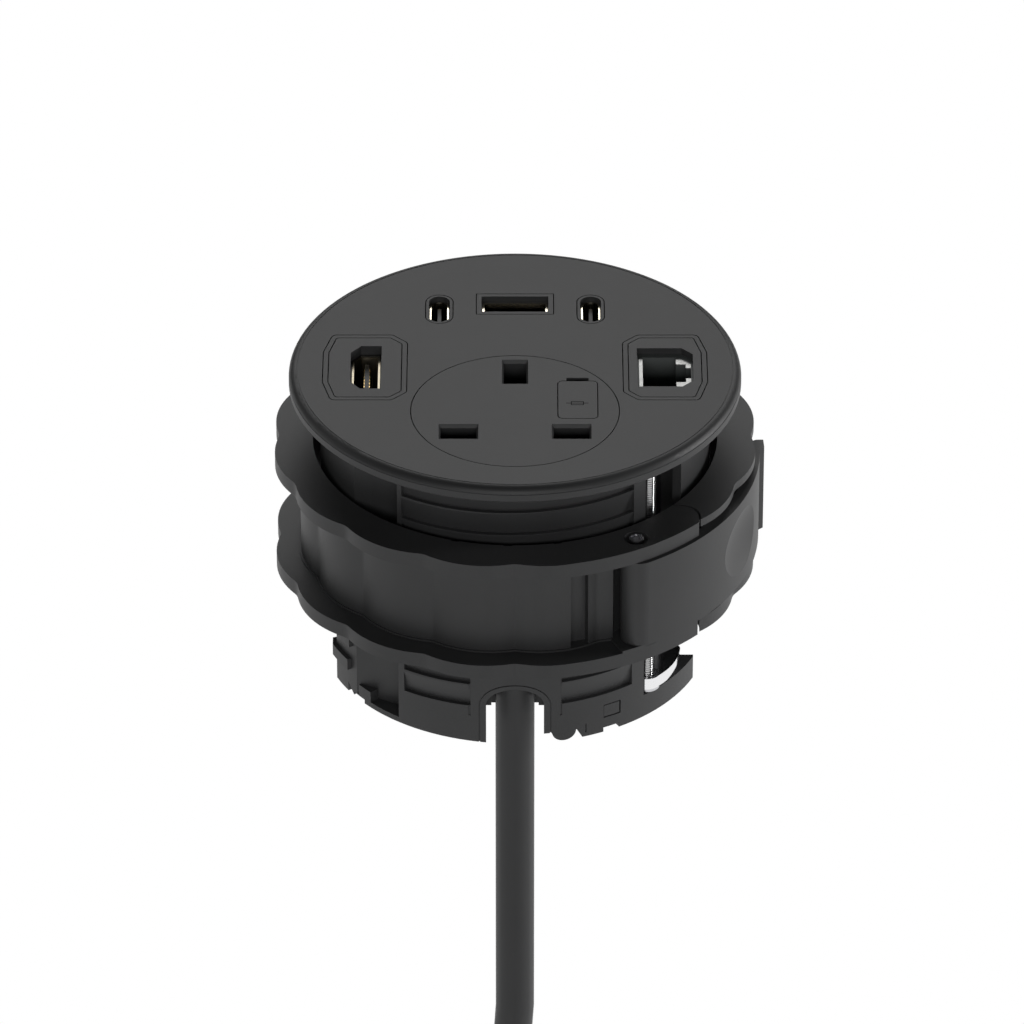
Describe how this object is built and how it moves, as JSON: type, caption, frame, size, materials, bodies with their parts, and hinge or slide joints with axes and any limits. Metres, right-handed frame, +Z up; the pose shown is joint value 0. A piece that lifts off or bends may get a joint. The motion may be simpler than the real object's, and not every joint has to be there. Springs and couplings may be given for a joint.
{
  "type": "in-desk power module",
  "caption": "Round in-desk power module with a mains outlet, charger and data ports, a clamp collar with a lever below, and a mains lead.",
  "frame": {"origin": "centre of the hole in the desk, at the desk's top face under the bezel", "axes": "+Z up along the barrel, -Y towards the user at the mains slots' side, +X to the user's right, where the data jack is"},
  "size_m": [0.1197, 0.103, 0.3463],
  "materials": {
    "dark_plastic": "fine moulded texture",
    "port_plastic": "smooth moulded",
    "pale_plastic": "smooth moulded",
    "shell_steel": "plated sheet",
    "chrome_steel": "polished",
    "screw_steel": "zinc plated",
    "brass": "plain",
    "gold_contacts": "gold plated",
    "circuit_board": "solder resist",
    "ceramic": "glazed",
    "core_black": "plain",
    "capacitor_can": "plain",
    "cord_sheath": "smooth flexible sheath",
    "wire_sheath": "smooth"
  },
  "bodies": {
    "module": {"barrel": "dark_plastic", "base_cover": "dark_plastic", "bezel": "dark_plastic", "board_screws": "screw_steel", "capacitors": "capacitor_can", "charger_board": "circuit_board", "clamp_bar": "port_plastic", "clamp_screws": "screw_steel", "cord": "cord_sheath", "cord_coil": "cord_sheath", "cord_gland": "port_plastic", "cord_tail": "cord_sheath", "cord_tie": "port_plastic", "cover_screws": "screw_steel", "data_contacts": "gold_contacts", "data_frame": "dark_plastic", "data_jack": "port_plastic", "data_plate": "dark_plastic", "data_shield": "shell_steel", "earth_contact": "brass", "fuse_clips": "brass", "hdmi_contacts": "gold_contacts", "hdmi_coupler": "port_plastic", "hdmi_frame": "dark_plastic", "hdmi_plate": "dark_plastic", "hdmi_shell": "shell_steel", "hdmi_tongue": "port_plastic", "inner_wires": "wire_sheath", "line_contact": "brass", "neutral_contact": "brass", "plug_body": "dark_plastic", "plug_pins": "brass", "shutter_spring": "screw_steel", "socket_body": "port_plastic", "socket_insert": "dark_plastic", "terminal_block": "pale_plastic", "terminal_screws": "screw_steel", "transformer": "core_black", "usb_a_contacts": "gold_contacts", "usb_a_shell": "shell_steel", "usb_a_surround": "dark_plastic", "usb_a_tongue": "port_plastic", "usb_c_shells": "shell_steel", "usb_c_surrounds": "dark_plastic", "usb_c_tongues": "port_plastic"},
    "fuse_carrier": {"fuse_carrier": "dark_plastic", "fuse_body": "ceramic", "fuse_caps": "brass"},
    "shutter": {"shutter": "port_plastic"},
    "collar_front": {"collar_front": "dark_plastic", "hinge_pins": "screw_steel"},
    "collar_rear": {"collar_rear": "dark_plastic"},
    "lever": {"lever": "dark_plastic"},
    "claw_screw_right": {"claw_screw_right": "chrome_steel"},
    "claw_nut_right": {"claw_nut_right": "screw_steel"},
    "claw_right": {"claw_right": "chrome_steel"},
    "claw_screw_left": {"claw_screw_left": "chrome_steel"},
    "claw_nut_left": {"claw_nut_left": "screw_steel"},
    "claw_left": {"claw_left": "chrome_steel"}
  },
  "joints": [
    {"name": "fuse_carrier_slide", "type": "slide", "parent": "module", "child": "fuse_carrier", "axis": [0, 0, 1], "range_m": [0, 0.032]},
    {"name": "shutter_turn", "type": "hinge", "parent": "module", "child": "shutter", "pos_m": [0, -0.0162, -0.0016], "axis": [0, 0, 1], "range_deg": [-36, 0], "stiffness_Nm_per_rad": 0.002, "springref_deg": 22.92},
    {"name": "collar_slide", "type": "slide", "parent": "module", "child": "collar_front", "axis": [0, 0, 1], "range_m": [-0.012, 0.0067]},
    {"name": "collar_hinge", "type": "hinge", "parent": "collar_front", "child": "collar_rear", "pos_m": [-0.0349, 0.02776, -0.026], "axis": [0, 0, 1], "range_deg": [0, 2.5]},
    {"name": "lever_open", "type": "hinge", "parent": "collar_front", "child": "lever", "pos_m": [0.02377, -0.03774, -0.0256], "axis": [0, 0, -1], "range_deg": [0, 95]},
    {"name": "claw_screw_right_turn", "type": "hinge", "parent": "module", "child": "claw_screw_right", "pos_m": [0.0263, -0.0258, -0.03], "axis": [0, 0, 1], "range_deg": [0, 14400]},
    {"name": "claw_nut_right_climb", "type": "slide", "parent": "module", "child": "claw_nut_right", "axis": [0, 0, 1], "range_m": [0, 0.02]},
    {"name": "claw_right_swing", "type": "hinge", "parent": "claw_nut_right", "child": "claw_right", "pos_m": [0.0263, -0.0258, -0.0535], "axis": [0, 0, 1], "range_deg": [-80, 0]},
    {"name": "claw_screw_left_turn", "type": "hinge", "parent": "module", "child": "claw_screw_left", "pos_m": [-0.0263, 0.0258, -0.03], "axis": [0, 0, 1], "range_deg": [0, 14400]},
    {"name": "claw_nut_left_climb", "type": "slide", "parent": "module", "child": "claw_nut_left", "axis": [0, 0, 1], "range_m": [0, 0.02]},
    {"name": "claw_left_swing", "type": "hinge", "parent": "claw_nut_left", "child": "claw_left", "pos_m": [-0.0263, 0.0258, -0.0535], "axis": [0, 0, 1], "range_deg": [-80, 0]}
  ],
  "couplings": [
    {"joint": "claw_screw_right_turn", "follows": "claw_nut_right_climb", "rad_per_m": 12566},
    {"joint": "claw_screw_left_turn", "follows": "claw_nut_left_climb", "rad_per_m": 12566},
    {"joint": "collar_hinge", "follows": "lever_open", "ratio": 0.026316}
  ]
}
